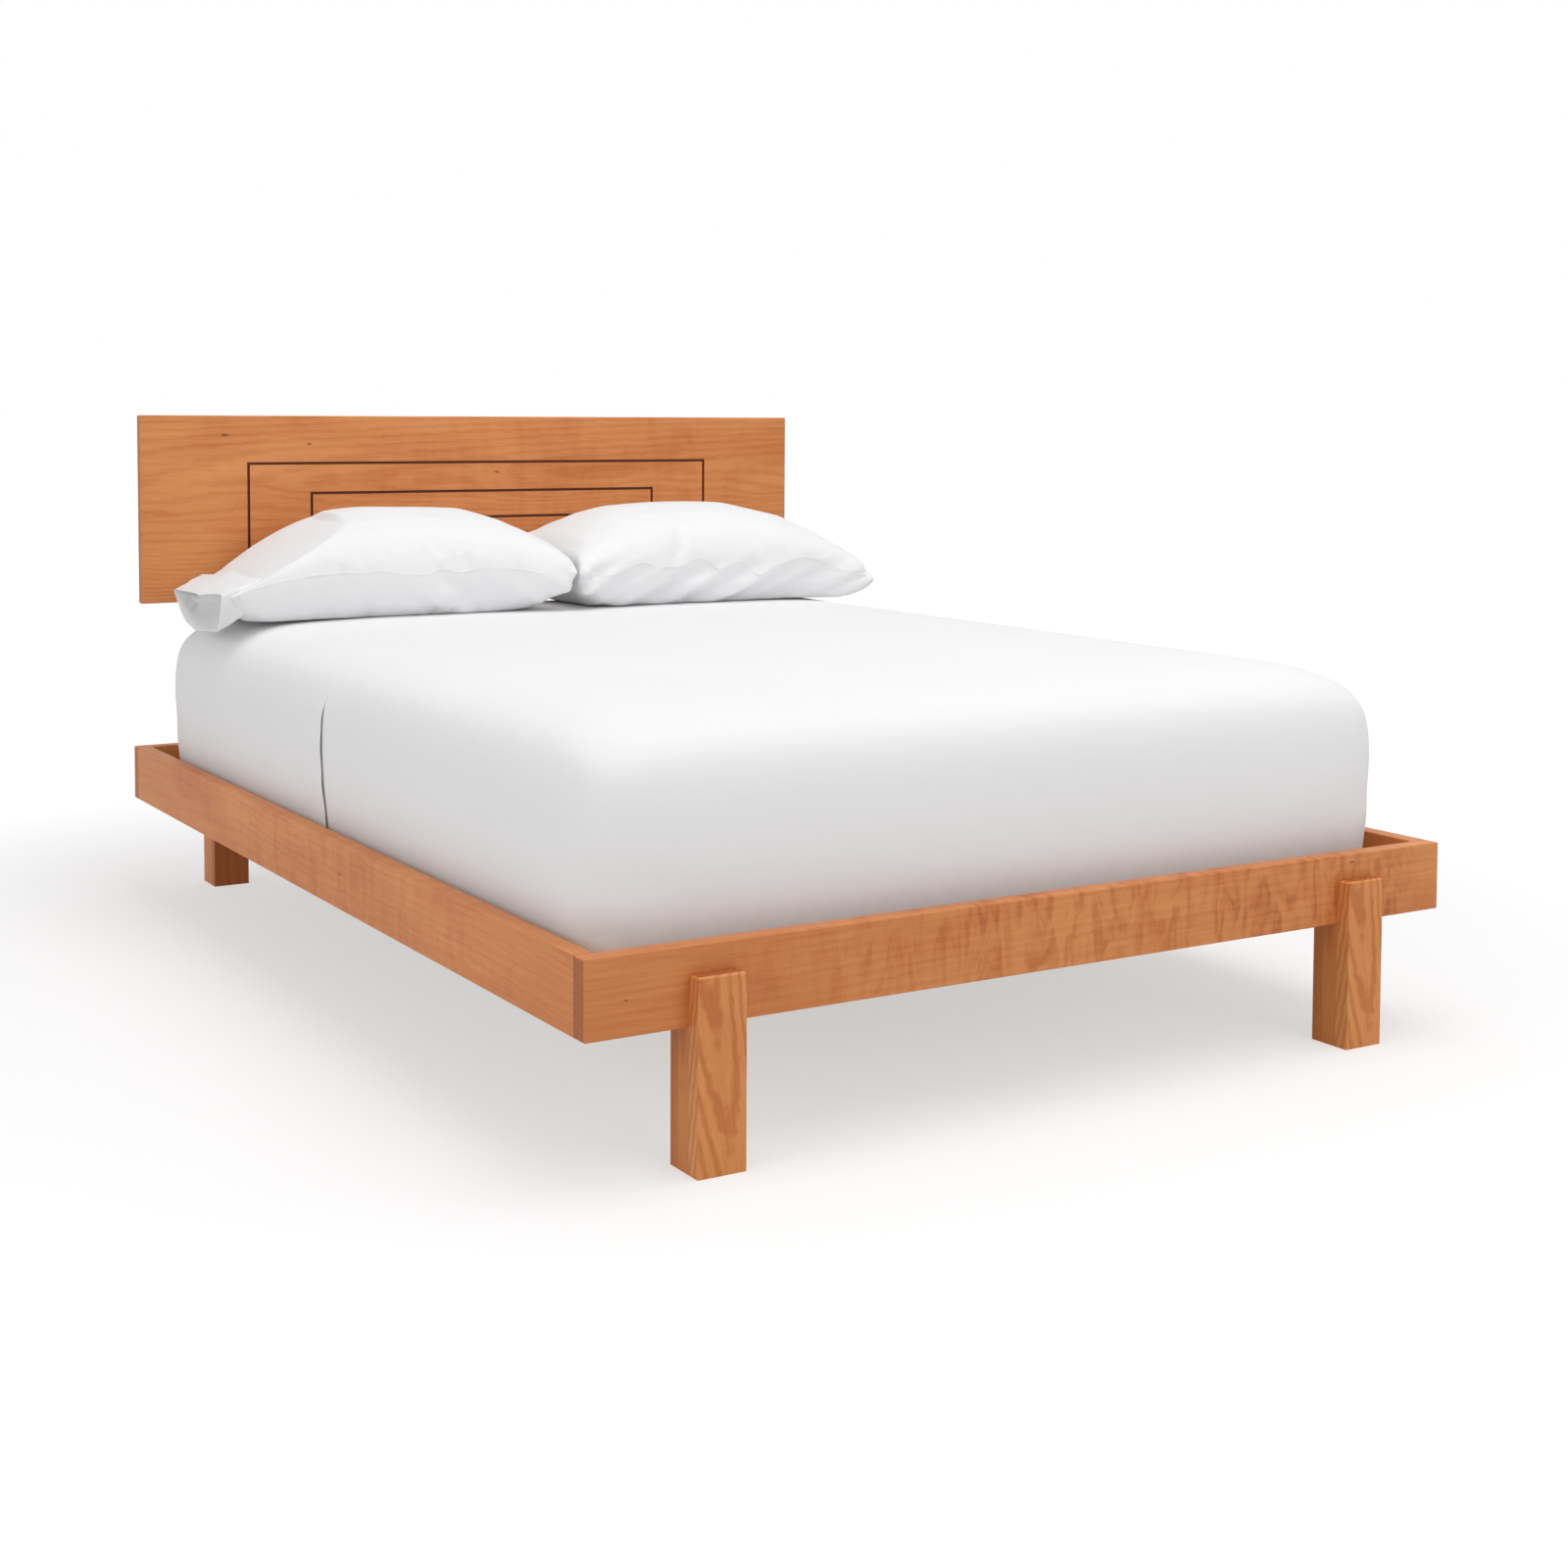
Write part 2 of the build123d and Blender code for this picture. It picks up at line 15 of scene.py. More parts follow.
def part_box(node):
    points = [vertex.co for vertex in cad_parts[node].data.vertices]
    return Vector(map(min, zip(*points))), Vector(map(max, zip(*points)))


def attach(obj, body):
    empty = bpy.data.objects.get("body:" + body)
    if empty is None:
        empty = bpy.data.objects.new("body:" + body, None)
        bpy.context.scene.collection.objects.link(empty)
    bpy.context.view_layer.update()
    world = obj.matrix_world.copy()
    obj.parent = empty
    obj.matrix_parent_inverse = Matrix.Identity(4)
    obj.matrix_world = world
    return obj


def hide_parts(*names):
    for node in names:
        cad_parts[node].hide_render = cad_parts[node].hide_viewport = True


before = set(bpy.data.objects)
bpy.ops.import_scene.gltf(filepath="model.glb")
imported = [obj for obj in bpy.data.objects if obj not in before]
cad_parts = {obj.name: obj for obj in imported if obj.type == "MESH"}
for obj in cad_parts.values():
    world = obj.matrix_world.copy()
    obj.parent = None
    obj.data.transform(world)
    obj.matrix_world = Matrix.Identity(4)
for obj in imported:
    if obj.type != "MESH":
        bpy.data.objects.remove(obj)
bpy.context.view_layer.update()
scene = bpy.context.scene

# %% [markdown]
# ## Camera
# The picture was taken from the foot of the bed, a little to its left, with the lens held
# almost level at about a metre above the floor. The bed fills the lower part of the frame
# because the picture was cropped, and a lens shift repeats that crop without tilting the view.

# %% Camera
view_from = Vector((-2.0708, -3.6058, 1.0224))
heading, pitch, roll = radians(30.753), radians(3.279), radians(0.201)
lens_mm, crop_shift = 50.08, (0.0278, -0.1528)
forward = Vector((sin(heading) * cos(pitch), cos(heading) * cos(pitch), -sin(pitch)))
level_right = Vector((cos(heading), -sin(heading), 0))
level_up = level_right.cross(forward)
right = cos(roll) * level_right + sin(roll) * level_up
up = cos(roll) * level_up - sin(roll) * level_right


def link_new(name, data):
    """A new object of that data, linked to the scene."""
    made = bpy.data.objects.new(name, data)
    scene.collection.objects.link(made)
    return made


camera = link_new("camera", bpy.data.cameras.new("camera"))
turn = Matrix((right, up, -forward)).transposed().to_4x4()
camera.matrix_world = Matrix.Translation(view_from) @ turn
camera.data.lens = lens_mm
camera.data.shift_x, camera.data.shift_y = crop_shift
scene.camera = camera
scene.view_settings.view_transform = "Standard"
print("lens", camera.data.lens, "from", tuple(view_from))

# %% [markdown]
# ## Building materials
# A material is a small graph of nodes. These helpers add a node, feed its sockets with a
# number or with another node's output, and give a first material to fill in.

# %% Helpers for nodes


def linear(red, green, blue):
    """A screen colour of 0 to 255 as the linear colour that the shader wants."""
    parts = [part / 255 for part in (red, green, blue)]
    return [p / 12.92 if p <= 0.04045 else ((p + 0.055) / 1.055) ** 2.4 for p in parts] + [1]


def add(tree, kind, feeds=None, **settings):
    """A node of that kind, with its settings, its sockets fed by numbers or other outputs."""
    made = tree.nodes.new(kind)
    for key, value in settings.items():
        setattr(made, key, value)
    for key, value in (feeds or {}).items():
        if isinstance(value, bpy.types.NodeSocket):
            tree.links.new(value, made.inputs[key])
        else:
            made.inputs[key].default_value = value
    return made


def math(tree, operation, a, b=0.0, c=0.0):
    return add(tree, "ShaderNodeMath", {0: a, 1: b, 2: c}, operation=operation).outputs[0]


def vector_math(tree, operation, a, b=(0, 0, 0)):
    """The node's outputs: a vector first, then a number."""
    return add(tree, "ShaderNodeVectorMath", {0: a, 1: b}, operation=operation).outputs


def object_place(tree):
    return add(tree, "ShaderNodeTexCoord").outputs["Object"]


def split_axes(tree, vector):
    return add(tree, "ShaderNodeSeparateXYZ", {0: vector}).outputs


def mix(tree, share, a, b, blend="MIX"):
    made = add(tree, "ShaderNodeMix", data_type="RGBA", blend_type=blend)
    for socket, value in ((0, share), (6, a), (7, b)):
        if isinstance(value, bpy.types.NodeSocket):
            tree.links.new(value, made.inputs[socket])
        else:
            made.inputs[socket].default_value = value
    return made.outputs[2]


def ramp(tree, value, stops):
    made = add(tree, "ShaderNodeValToRGB", {0: value})
    points = made.color_ramp.elements
    while len(points) < len(stops):
        points.new(0.5)
    for point, (place, colour) in zip(points, stops):
        point.position = place
        point.color = colour
    return made.outputs[0]


def smooth_step(tree, value, start, end):
    feeds = {0: value, 1: start, 2: end}
    return add(tree, "ShaderNodeMapRange", feeds, interpolation_type="SMOOTHSTEP").outputs[0]


def stretched(tree, vector, scale, place=(0, 0, 0)):
    return add(tree, "ShaderNodeMapping", {0: vector, 1: place, 3: scale}).outputs[0]


def turned(tree, vector, angles):
    return add(tree, "ShaderNodeMapping", {0: vector, 2: angles}).outputs[0]


def grainy(tree, vector, scale, detail=2.0, rough=0.5, warp=0.0):
    feeds = {"Vector": vector, "Scale": scale, "Detail": detail, "Roughness": rough}
    feeds["Distortion"] = warp
    return add(tree, "ShaderNodeTexNoise", feeds).outputs[0]


def start_material(name):
    material = bpy.data.materials.new(name)
    material.use_nodes = True
    tree = material.node_tree
    tree.nodes.clear()
    shader = add(tree, "ShaderNodeBsdfPrincipled")
    add(tree, "ShaderNodeOutputMaterial", {0: shader.outputs[0]})
    return material, tree, shader


def bump(tree, shader, height, depth):
    made = add(tree, "ShaderNodeBump", {"Height": height, "Distance": depth, "Strength": 1.0})
    tree.links.new(made.outputs[0], shader.inputs["Normal"])


print("helpers ready")

# %% [markdown]
# ## Cherry
# Oiled cherry is a warm orange brown. Growth rings show as thin darker lines, which run
# straight on one board and in nested arches on another, depending on how the saw passed the
# heart of the tree. So the rings here are real cylinders round a heart line that lies outside
# each board, and the board cuts them as a saw would. Fine fibres, soft blotches, a rippled
# "curl" across the grain and a few small dark flecks go on top of that.

# %% The cherry shader
turns = {"X": (0, 0, 0), "Y": (0, 0, -pi / 2), "Z": (0, pi / 2, 0)}
cherry_tones = [
    (0.0, linear(232, 164, 104)),
    (0.35, linear(212, 139, 82)),
    (0.62, linear(192, 113, 60)),
    (1.0, linear(134, 64, 28)),
]
pore_brown, fleck_brown = linear(120, 60, 32), linear(86, 40, 22)
end_tint = (0.62, 0.5, 0.42)


def along_grain(tree, grain, heart, tilt):
    """Coordinates whose X runs with the grain and whose zero line is the heart of the tree."""
    place = object_place(tree)
    laid = turned(tree, vector_math(tree, "SUBTRACT", place, heart)[0], turns[grain])
    return place, turned(tree, laid, (0, radians(tilt[0]), radians(tilt[1])))


def ring_lines(tree, wood, rings, wander):
    """0 to 1 and back across each year's growth, on rings that wander a little."""
    drift = grainy(tree, stretched(tree, wood, (1.3, 7, 7)), 1.0, 2.5, 0.55)
    push = math(tree, "MULTIPLY_ADD", drift, wander, -wander / 2)
    shift = add(tree, "ShaderNodeCombineXYZ", {1: push, 2: push}).outputs[0]
    bent = vector_math(tree, "ADD", wood, shift)[0]
    feeds = {"Vector": bent, "Scale": rings, "Distortion": 1.5, "Detail": 1.0, "Detail Scale": 1.5}
    made = add(tree, "ShaderNodeTexWave", feeds, wave_type="RINGS", rings_direction="X")
    return made.outputs["Fac"]


def flecks(tree, place, spots, grain):
    """1 inside each small dark fleck, which is drawn out along the grain."""
    total = None
    for x, y, z, size in spots:
        away = vector_math(tree, "SUBTRACT", place, (x, y, z))[0]
        short = [1 / size] * 3
        short["XYZ".index(grain)] = 0.35 / size
        reach = vector_math(tree, "LENGTH", stretched(tree, away, short))[1]
        inside = smooth_step(tree, reach, 1.0, 0.35)
        total = inside if total is None else math(tree, "MAXIMUM", total, inside)
    return total


def cherry(name, grain, heart, tint=(1, 1, 1), tilt=(1.5, 1.0), rings=30.0, wander=0.03,
           weights=(0.1, 0.28, 0.4), curl=None, spots=()):
    """Cherry for one board. weights are how much rings, fibres and blotches darken it."""
    material, tree, shader = start_material(name)
    place, wood = along_grain(tree, grain, heart, tilt)
    rings_fac = ring_lines(tree, wood, rings, wander)
    late = smooth_step(tree, rings_fac, 0.3, 1.0)
    fibre = grainy(tree, stretched(tree, wood, (7, 230, 230)), 1.0, 3.0, 0.6)
    blotch = grainy(tree, stretched(tree, wood, (2.2, 9, 9)), 1.0, 2.0, 0.5, 0.4)
    dark = math(tree, "MULTIPLY", late, weights[0])
    dark = math(tree, "MULTIPLY_ADD", fibre, weights[1], dark)
    dark = math(tree, "MULTIPLY_ADD", blotch, weights[2], dark)
    if curl:
        ripple = curl_bands(tree, place, grain, *curl)
        dark = math(tree, "ADD", dark, ripple)
    colour = ramp(tree, dark, cherry_tones)
    colour = mix(tree, 1.0, colour, [*tint, 1], "MULTIPLY")
    streaks = grainy(tree, stretched(tree, wood, (38, 900, 900)), 1.0, 1.0)
    pores = math(tree, "MULTIPLY", smooth_step(tree, streaks, 0.66, 0.78), 0.35)
    colour = mix(tree, pores, colour, pore_brown)
    if spots:
        spotted = math(tree, "MULTIPLY", flecks(tree, place, spots, grain), 0.75)
        colour = mix(tree, spotted, colour, fleck_brown)
    facing = add(tree, "ShaderNodeTexCoord").outputs["Normal"]
    axis = [float(letter == grain) for letter in "XYZ"]
    across = vector_math(tree, "DOT_PRODUCT", facing, axis)[1]
    end = smooth_step(tree, math(tree, "ABSOLUTE", across), 0.75, 0.95)
    colour = mix(tree, end, colour, mix(tree, 1.0, colour, [*end_tint, 1], "MULTIPLY"))
    tree.links.new(colour, shader.inputs["Base Color"])
    gloss = math(tree, "MULTIPLY_ADD", fibre, 0.16, 0.42)
    shader.inputs["Specular IOR Level"].default_value = 0.3
    tree.links.new(gloss, shader.inputs["Roughness"])
    bump(tree, shader, math(tree, "MULTIPLY_ADD", late, 0.4, fibre), 0.00012)
    return material, tree, shader


def curl_bands(tree, place, grain, strength, start, end, spacing):
    """Ripples across the grain between start and end, as curly wood has."""
    along = "XYZ".index(grain)
    scale = [1.0 / (3.0 * spacing)] * 3
    scale[along] = 1.0 / spacing
    band = grainy(tree, stretched(tree, place, scale, (0.3, 0.7, 0.1)), 1.0, 2.6, 0.5, 1.5)
    band = smooth_step(tree, band, 0.4, 0.72)
    where = split_axes(tree, place)[along]
    shown = math(tree, "MULTIPLY", smooth_step(tree, where, *start), smooth_step(tree, where, *end))
    return math(tree, "MULTIPLY", math(tree, "MULTIPLY", band, shown), strength)


print("cherry tones:", len(cherry_tones))

# %% [markdown]
# ## One finish for each kind of board
# Each board gets its own heart line, so that no two show the same arches. The foot rail is
# the showpiece with a strong curl to the right of its middle, the headboard is glued up from
# boards whose grain lies level, and the legs show tall arches on their fronts.

# %% Cherry boards


def wear(node, material):
    """Gives every slot of a CAD node that material."""
    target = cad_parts[node]
    if not target.material_slots:
        target.data.materials.append(material)
    for each in target.material_slots:
        each.material = material


foot_front, left_face, fleck_small, fleck_large = -1.079, -0.8035, 0.0016, 0.0024
foot_flecks = [(-0.741, foot_front, 0.253, fleck_small), (0.60, foot_front, 0.302, fleck_large),
               (0.34, foot_front, 0.262, 0.0014)]
foot_rail = cherry(
    "cherry_foot_rail", "X", heart=(0.2, -1.02, 0.14), tint=(1.03, 1.02, 0.99), tilt=(1.2, -0.6),
    rings=24, wander=0.05, weights=(0.045, 0.3, 0.56),
    curl=(0.27, (-0.75, -0.1), (0.80, 0.66), 0.03), spots=foot_flecks)[0]
wear("foot_rail", foot_rail)
head_rail = cherry("cherry_head_rail", "X", heart=(-0.3, 1.15, 0.20), tint=(0.97, 0.93, 0.9),
                   tilt=(1.0, 0.8))[0]
wear("head_rail", head_rail)
side_flecks = [(left_face, 0.14, 0.252, fleck_small), (left_face, -0.17, 0.262, fleck_large)]
for side, sign in (("left", -1), ("right", 1)):
    made = cherry(
        f"cherry_side_rail_{side}", "Y", heart=(sign * 0.74, -0.2, 0.17), tint=(1.0, 0.94, 0.84),
        tilt=(1.1, 0.7), rings=26, wander=0.05, weights=(0.05, 0.3, 0.54),
        curl=(0.12, (-1.1, -0.6), (1.0, 0.3), 0.05), spots=side_flecks)[0]
    wear(f"side_rail_{side}", made)
leg_out, leg_x = 1.104, 0.6075
for end, y_end in (("foot", -leg_out), ("head", leg_out)):
    for side, x_leg in (("left", -leg_x), ("right", leg_x)):
        heart = (x_leg + 0.004, y_end + (0.06 if end == "foot" else -0.06), 0.1)
        front = cherry(
            f"cherry_leg_{end}_{side}", "Z", heart, tint=(1.04, 1.03, 0.98), tilt=(9.0, 3.0),
            rings=34, wander=0.016, weights=(0.24, 0.32, 0.36))[0]
        wear(f"leg_{end}_{side}_outer_board", front)
        heart = (x_leg + 0.2, y_end * 0.97, 0.3)
        core = cherry(f"cherry_core_{end}_{side}", "Z", heart, tint=(0.94, 0.86, 0.7),
                      tilt=(2.0, 1.0), rings=14)[0]
        wear(f"leg_{end}_{side}_core_board", core)
        heart = (x_leg - 0.15, y_end * 0.9, 0.2)
        inner = cherry(f"cherry_inner_{end}_{side}", "Z", heart, tint=(0.8, 0.66, 0.55),
                       tilt=(1.4, 2.0), rings=15)[0]
        wear(f"leg_{end}_{side}_" + ("inner_board" if end == "foot" else "post"), inner)
print("boards finished:", len([m for m in bpy.data.materials if m.name.startswith("cherry")]))

# %% [markdown]
# ## The headboard
# The grooves in the panel are saw kerfs, and their walls and floors get painted shade. The
# kerfs are real channels in the model, so the shader only needs to know how deep a point lies
# behind the panel's face to paint them dark.

# %% Headboard finish
panel_low, panel_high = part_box("headboard_panel")
panel_face = 1.008
board_flecks = [(-0.62, panel_face, 0.985, 0.004), (0.02, panel_face, 0.9, 0.003),
                (-0.43, panel_face, 0.965, 0.003)]
headboard, tree, shader = cherry(
    "cherry_headboard", "X", heart=(0.1, 1.09, 0.9), tint=(1.03, 1.03, 1.04), tilt=(0.8, 1.6),
    rings=26, wander=0.09, weights=(0.09, 0.32, 0.5), curl=(0.08, (-0.9, 0.3), (0.9, 0.5), 0.06),
    spots=board_flecks)
# Painted shade in the kerfs: points just behind the panel's face, away from its edges, are made
# dark brown.
split = split_axes(tree, object_place(tree))
behind = math(tree, "GREATER_THAN", split[1], panel_low.y + 0.0006)
before = math(tree, "LESS_THAN", split[1], panel_low.y + 0.0056)
inner_x = math(tree, "LESS_THAN", math(tree, "ABSOLUTE", split[0]), panel_high.x - 0.01)
inner_z = math(tree, "LESS_THAN", split[2], panel_high.z - 0.01)
above = math(tree, "GREATER_THAN", split[2], panel_low.z + 0.004)
painted_kerf_shade = math(tree, "MULTIPLY", behind, before)
for test in (inner_x, inner_z, above):
    painted_kerf_shade = math(tree, "MULTIPLY", painted_kerf_shade, test)
plain = shader.inputs["Base Color"].links[0].from_socket
tree.links.new(mix(tree, painted_kerf_shade, plain, linear(108, 46, 18)), shader.inputs["Base Color"])
wear("headboard_panel", headboard)
print("headboard from", tuple(panel_low), "to", tuple(panel_high))

# %% [markdown]
# ## Slats, cleats and the centre beam
# Nothing of the deck shows in the picture. Such beds have slats of a pale, cheap wood, often
# birch, which is nearly white with faint lines, and it is left without a finish.

# %% Pale deck wood
birch_tones = [
    (0.1, linear(232, 208, 172)),
    (0.5, linear(218, 188, 146)),
    (1.0, linear(188, 150, 106)),
]


def birch(name, grain, heart, tint):
    material, tree, shader = start_material(name)
    wood = along_grain(tree, grain, heart, (1.5, 0.8))[1]
    late = smooth_step(tree, ring_lines(tree, wood, 12, 0.04), 0.5, 1.0)
    fibre = grainy(tree, stretched(tree, wood, (9, 260, 260)), 1.0, 3.0, 0.6)
    dark = math(tree, "MULTIPLY_ADD", late, 0.4, math(tree, "MULTIPLY", fibre, 0.5))
    colour = mix(tree, 1.0, ramp(tree, dark, birch_tones), [*tint, 1], "MULTIPLY")
    tree.links.new(colour, shader.inputs["Base Color"])
    shader.inputs["Roughness"].default_value = 0.62
    bump(tree, shader, fibre, 0.00015)
    return material


slat_names = sorted(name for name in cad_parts
                    if name.startswith("slat_") and "cleat" not in name)
for index, name in enumerate(slat_names):
    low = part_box(name)[0]
    tone = 1 - 0.05 * (index % 3)
    heart = (0.3 * (index % 5), low.y + 0.02 * (index % 4), low.z - 0.05)
    wear(name, birch(f"birch_{name}", "X", heart, (tone, tone * 0.99, tone * 0.97)))
for name, grain in (("slat_cleat_left", "Y"), ("slat_cleat_right", "Y"), ("centre_beam", "Y"),
                    ("centre_leg_foot_end", "Z"), ("centre_leg_head_end", "Z")):
    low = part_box(name)[0]
    heart = (low.x - 0.05, low.y, low.z - 0.04)
    wear(name, birch(f"birch_{name}", grain, heart, (0.95, 0.92, 0.86)))
print("slats:", len(slat_names))

# %% [markdown]
# ## Steel and plastic
# The brackets are pressed steel with a dull zinc coat, which has a fine speckle and a slight
# cloudiness. The bolts are brighter. The levelling feet are black moulded plastic with a steel
# stem, told apart by their height above the floor.

# %% Metal finishes


def zinc(name, tone, rough):
    material, tree, shader = start_material(name)
    place = object_place(tree)
    cloud = grainy(tree, place, 28.0, 4.0, 0.6)
    speck = grainy(tree, place, 900.0, 2.0, 0.5)
    light, dull = linear(*tone), linear(*[0.8 * part for part in tone])
    tree.links.new(mix(tree, cloud, light, dull), shader.inputs["Base Color"])
    shader.inputs["Metallic"].default_value = 1.0
    tree.links.new(math(tree, "MULTIPLY_ADD", cloud, 0.2, rough), shader.inputs["Roughness"])
    bump(tree, shader, speck, 0.00003)
    return material, tree, shader


bracket_zinc = zinc("zinc_brackets", (176, 178, 180), 0.34)[0]
bolt_zinc = zinc("bright_zinc", (205, 205, 200), 0.2)[0]
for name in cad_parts:
    if name.startswith(("corner_bracket", "beam_hanger")):
        wear(name, bracket_zinc)
    if name.endswith(("bolts", "screws")):
        wear(name, bolt_zinc)
foot_finish, tree, shader = zinc("levelling_foot", (190, 190, 188), 0.3)
pad_height = 0.0072
is_pad = math(tree, "LESS_THAN", split_axes(tree, object_place(tree))[2], pad_height)
metal_colour = shader.inputs["Base Color"].links[0].from_socket
tree.links.new(mix(tree, is_pad, metal_colour, linear(34, 34, 35)), shader.inputs["Base Color"])
tree.links.new(math(tree, "SUBTRACT", 1.0, is_pad), shader.inputs["Metallic"])
for name in ("levelling_foot_foot_end", "levelling_foot_head_end"):
    wear(name, foot_finish)
print("metal pieces finished")

# %% [markdown]
# ## Screw heads
# The model leaves the small wood screws out. Each head is a short cone with a shallow round
# socket pressed into its top. All of one kind are one piece, because they are fixed to the
# same frame.

# %% Screw heads


def from_bmesh(name, bm):
    """The finished bmesh as a new object."""
    mesh = bpy.data.meshes.new(name)
    bm.to_mesh(mesh)
    bm.free()
    return link_new(name, mesh)


def steel_heads(name, bm):
    """The screw heads in that bmesh as one piece, flat shaded, on the frame."""
    made = from_bmesh(name, bm)
    made.data.materials.append(bolt_zinc)
    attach(made, "bed_frame")


def screw_head(bm, place, facing, radius=0.004, rise=0.0022):
    """One pan head standing on place, its axis along facing, with a socket in its top."""
    turn = Vector((0, 0, 1)).rotation_difference(Vector(facing)).to_matrix().to_4x4()
    where = Matrix.Translation(Vector(place)) @ turn
    made = bmesh.ops.create_cone(
        bm, cap_ends=True, segments=16, radius1=radius, radius2=radius * 0.72, depth=rise,
        matrix=where @ Matrix.Translation((0, 0, rise / 2)))
    top = max({f for v in made["verts"] for f in v.link_faces},
              key=lambda f: (where.inverted() @ f.calc_center_median()).z)
    bmesh.ops.inset_individual(bm, faces=[top], thickness=radius * 0.28)
    bmesh.ops.inset_individual(bm, faces=[top], thickness=radius * 0.1, depth=-rise * 0.45)


screw_inset, cleat_inset, cleat_screw_count = 0.012, 0.06, 9
screws = bmesh.new()
for name in slat_names:
    low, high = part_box(name)
    middle = (low.y + high.y) / 2
    for x in (low.x + screw_inset, 0.0, high.x - screw_inset):
        screw_head(screws, (x, middle, high.z), (0, 0, 1))
steel_heads("slat_screw_heads", screws)
screws = bmesh.new()
for side, sign in (("left", -1), ("right", 1)):
    low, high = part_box(f"slat_cleat_{side}")
    inner_face = high.x if sign < 0 else low.x
    pitch_y = (high.y - low.y - 2 * cleat_inset) / (cleat_screw_count - 1)
    for index in range(cleat_screw_count):
        y = low.y + cleat_inset + index * pitch_y
        screw_head(screws, (inner_face, y, (low.z + high.z) / 2), (-sign, 0, 0), 0.0045)
steel_heads("cleat_screw_heads", screws)
print("screw heads:", 3 * len(slat_names) + 2 * cleat_screw_count)

# %% [markdown]
# ## Cotton
# The bedding is plain white cotton. Its weave is finer than a pixel from here, so it is only a
# small relief on the piece's own map, where one unit is a metre. A little sheen gives cloth
# its soft edge.

# %% Cotton and ticking
wave_per_metre = 0.314  # the wave texture's scale at which one band is a metre wide


def cloth_map(obj):
    """A map in metres from above, from the front or from the side, as each face looks."""
    layer = obj.data.uv_layers.new(name="weave")
    for face in obj.data.polygons:
        n = face.normal
        flat = max(range(3), key=lambda i: abs(n[i]))
        a, b = [i for i in range(3) if i != flat]
        for corner in face.loop_indices:
            co = obj.data.vertices[obj.data.loops[corner].vertex_index].co
            layer.data[corner].uv = (co[a], co[b])


def cotton(name, tone, thread=0.0006, relief=0.00006):
    material, tree, shader = start_material(name)
    weave = add(tree, "ShaderNodeUVMap", uv_map="weave").outputs[0]
    feeds = {"Vector": weave, "Scale": wave_per_metre / thread, "Distortion": 0.4}
    warp, weft = [add(tree, "ShaderNodeTexWave", feeds, bands_direction=way).outputs["Fac"]
                  for way in "XY"]
    place = object_place(tree)
    slub = grainy(tree, place, 60.0, 3.0, 0.6)
    cloud = grainy(tree, place, 3.0, 2.0, 0.5)
    shade = math(tree, "MULTIPLY_ADD", slub, 0.4, math(tree, "MULTIPLY", cloud, 0.6))
    light, dim = linear(*tone), linear(*[part - 5 for part in tone])
    tree.links.new(mix(tree, shade, light, dim), shader.inputs["Base Color"])
    shader.inputs["Roughness"].default_value = 0.88
    shader.inputs["Sheen Weight"].default_value = 0.12
    shader.inputs["Sheen Roughness"].default_value = 0.5
    shader.inputs["Specular IOR Level"].default_value = 0.25
    height = math(tree, "MULTIPLY_ADD", slub, 1.5, math(tree, "ADD", warp, weft))
    bump(tree, shader, height, relief)
    return material


cotton_white = (246, 246, 247)
sheet_cotton = cotton("sheet_cotton", cotton_white)
pillow_cotton = cotton("pillow_cotton", cotton_white, 0.0005)


def ticking_cloth():
    """Knitted mattress cover, quilted in diamonds, with painted shade in the quilted valleys."""
    material, tree, shader = start_material("ticking")
    place = object_place(tree)
    diamond = 0.11
    feeds = {"Vector": turned(tree, place, (0, 0, radians(45))), "Scale": wave_per_metre / diamond}
    quilt = None
    for way in "XY":
        line = add(tree, "ShaderNodeTexWave", feeds, bands_direction=way).outputs["Fac"]
        valley = smooth_step(tree, line, 0.0, 0.25)
        quilt = valley if quilt is None else math(tree, "MINIMUM", quilt, valley)
    knit = grainy(tree, place, 700.0, 2.0, 0.6)
    # Painted shade: the valleys between the puffed diamonds are coloured darker than their tops.
    valley_shade, puffed = linear(214, 212, 206), linear(234, 233, 229)
    tree.links.new(mix(tree, quilt, valley_shade, puffed), shader.inputs["Base Color"])
    shader.inputs["Roughness"].default_value = 0.85
    shader.inputs["Sheen Weight"].default_value = 0.1
    bump(tree, shader, math(tree, "MULTIPLY_ADD", knit, 0.06, quilt), 0.004)
    return material


ticking = ticking_cloth()
print("cloths ready")

# %% [markdown]
# ## Working with soft shapes
# Each padded piece starts from the model's solid, which has the right size and place. A voxel
# remesh gives it an even skin. On the pillows, a cloth simulation with a little pressure inside
# lets that skin crease as cloth does, with the move of each point capped.

# %% Helpers for cloth


def soft_copy(node, name, voxel, rounds):
    """A copy of a CAD solid with an even skin, smoothed that many times."""
    bm = bmesh.new()
    bm.from_mesh(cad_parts[node].data)
    bmesh.ops.remove_doubles(bm, verts=bm.verts, dist=0.00002)
    made = from_bmesh(name, bm)
    remesh = made.modifiers.new("even_skin", "REMESH")
    remesh.mode = "VOXEL"
    remesh.voxel_size = voxel
    remesh.use_smooth_shade = True
    settle(made)
    bm = bmesh.new()
    bm.from_mesh(made.data)
    for _ in range(rounds):
        bmesh.ops.smooth_vert(bm, verts=bm.verts, factor=0.5, use_axis_x=True,
                              use_axis_y=True, use_axis_z=True)
    bm.to_mesh(made.data)
    bm.free()
    return made


def settle(obj):
    """Applies all of a piece's modifiers."""
    seen = obj.evaluated_get(bpy.context.evaluated_depsgraph_get())
    mesh = bpy.data.meshes.new_from_object(seen)
    obj.modifiers.clear()
    old = obj.data
    obj.data = mesh
    bpy.data.meshes.remove(old)


